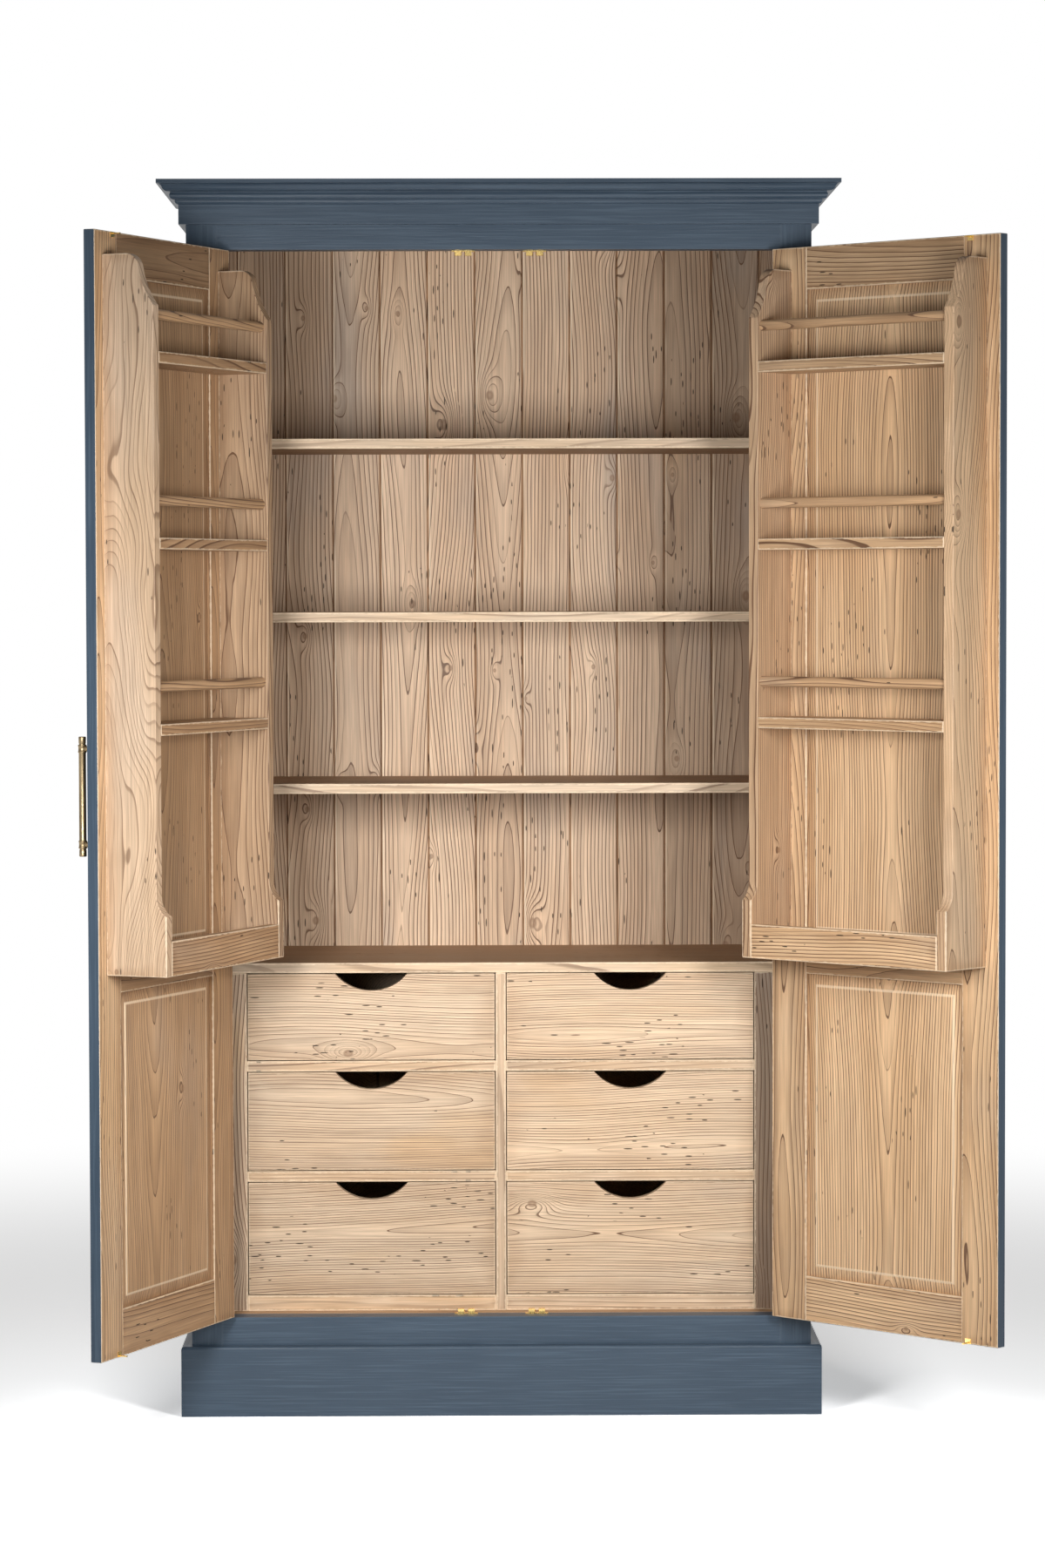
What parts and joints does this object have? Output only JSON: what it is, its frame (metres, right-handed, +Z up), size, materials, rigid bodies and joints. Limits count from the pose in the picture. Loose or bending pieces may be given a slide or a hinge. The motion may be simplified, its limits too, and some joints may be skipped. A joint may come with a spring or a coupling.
{
  "type": "kitchen larder cupboard",
  "caption": "Free-standing larder cupboard with painted outside, pine inside, shelves, drawers behind two panelled doors, and a spice rack on each door.",
  "frame": {"origin": "on the floor, under the middle of the front plinth board, halfway through its thickness", "axes": "+X to the right, +Y into the cupboard, +Z up; the face frame's front is at y = 0.009"},
  "size_m": [1.5372, 0.9328, 2.15],
  "materials": {
    "painted_pine": "slate blue-grey satin paint",
    "door_pine": "waxed pine inside, slate blue-grey satin paint outside",
    "waxed_pine": "waxed",
    "polished_brass": "polished",
    "antique_brass": "aged",
    "hinge_brass": "satin"
  },
  "bodies": {
    "carcass": {"side_left": "painted_pine", "side_right": "painted_pine", "floor_board": "waxed_pine", "top_panel": "waxed_pine", "back_boards": "waxed_pine", "frame_stiles": "painted_pine", "frame_rail_top": "painted_pine", "frame_rail_bottom": "painted_pine", "plinth_front": "painted_pine", "plinth_returns": "painted_pine", "frieze_front": "painted_pine", "frieze_returns": "painted_pine", "cornice_front": "painted_pine", "cornice_returns": "painted_pine", "shelf_upper": "waxed_pine", "shelf_middle": "waxed_pine", "shelf_lower": "waxed_pine", "worktop": "waxed_pine", "drawer_unit_stiles": "waxed_pine", "drawer_unit_uprights": "waxed_pine", "drawer_rails": "waxed_pine", "drawer_runners": "waxed_pine", "ball_catches": "polished_brass", "hinge_leaves_fixed": "hinge_brass"},
    "door_left": {"door_left_stile_hinge": "door_pine", "door_left_stile_free": "door_pine", "door_left_rails": "door_pine", "door_left_panels": "door_pine", "door_left_rack_cheek_hinge": "waxed_pine", "door_left_rack_cheek_free": "waxed_pine", "door_left_rack_shelves": "waxed_pine", "door_left_rack_rods": "waxed_pine", "door_left_rack_front_board": "waxed_pine", "door_left_handle": "antique_brass", "door_left_hinge_leaves": "hinge_brass", "door_left_strikes": "polished_brass"},
    "door_right": {"door_right_stile_hinge": "door_pine", "door_right_stile_free": "door_pine", "door_right_rails": "door_pine", "door_right_panels": "door_pine", "door_right_rack_cheek_hinge": "waxed_pine", "door_right_rack_cheek_free": "waxed_pine", "door_right_rack_shelves": "waxed_pine", "door_right_rack_rods": "waxed_pine", "door_right_rack_front_board": "waxed_pine", "door_right_handle": "antique_brass", "door_right_hinge_leaves": "hinge_brass", "door_right_strikes": "polished_brass"},
    "drawer_left_top": {"drawer_left_top_front": "waxed_pine", "drawer_left_top_box": "waxed_pine"},
    "drawer_left_middle": {"drawer_left_middle_front": "waxed_pine", "drawer_left_middle_box": "waxed_pine"},
    "drawer_left_base": {"drawer_left_base_front": "waxed_pine", "drawer_left_base_box": "waxed_pine"},
    "drawer_right_top": {"drawer_right_top_front": "waxed_pine", "drawer_right_top_box": "waxed_pine"},
    "drawer_right_middle": {"drawer_right_middle_front": "waxed_pine", "drawer_right_middle_box": "waxed_pine"},
    "drawer_right_base": {"drawer_right_base_front": "waxed_pine", "drawer_right_base_box": "waxed_pine"}
  },
  "joints": [
    {"name": "door_left_hinge", "type": "hinge", "parent": "carcass", "child": "door_left", "pos_m": [-0.48825, 0.005, 1.102], "axis": [0, 0, -1], "range_deg": [-113.4, 56.6]},
    {"name": "door_right_hinge", "type": "hinge", "parent": "carcass", "child": "door_right", "pos_m": [0.48825, 0.005, 1.102], "axis": [0, 0, 1], "range_deg": [-136.8, 33.2]},
    {"name": "drawer_left_top_slide", "type": "slide", "parent": "carcass", "child": "drawer_left_top", "axis": [0, -1, 0], "range_m": [0, 0.29]},
    {"name": "drawer_left_middle_slide", "type": "slide", "parent": "carcass", "child": "drawer_left_middle", "axis": [0, -1, 0], "range_m": [0, 0.29]},
    {"name": "drawer_left_base_slide", "type": "slide", "parent": "carcass", "child": "drawer_left_base", "axis": [0, -1, 0], "range_m": [0, 0.29]},
    {"name": "drawer_right_top_slide", "type": "slide", "parent": "carcass", "child": "drawer_right_top", "axis": [0, -1, 0], "range_m": [0, 0.29]},
    {"name": "drawer_right_middle_slide", "type": "slide", "parent": "carcass", "child": "drawer_right_middle", "axis": [0, -1, 0], "range_m": [0, 0.29]},
    {"name": "drawer_right_base_slide", "type": "slide", "parent": "carcass", "child": "drawer_right_base", "axis": [0, -1, 0], "range_m": [0, 0.29]}
  ]
}
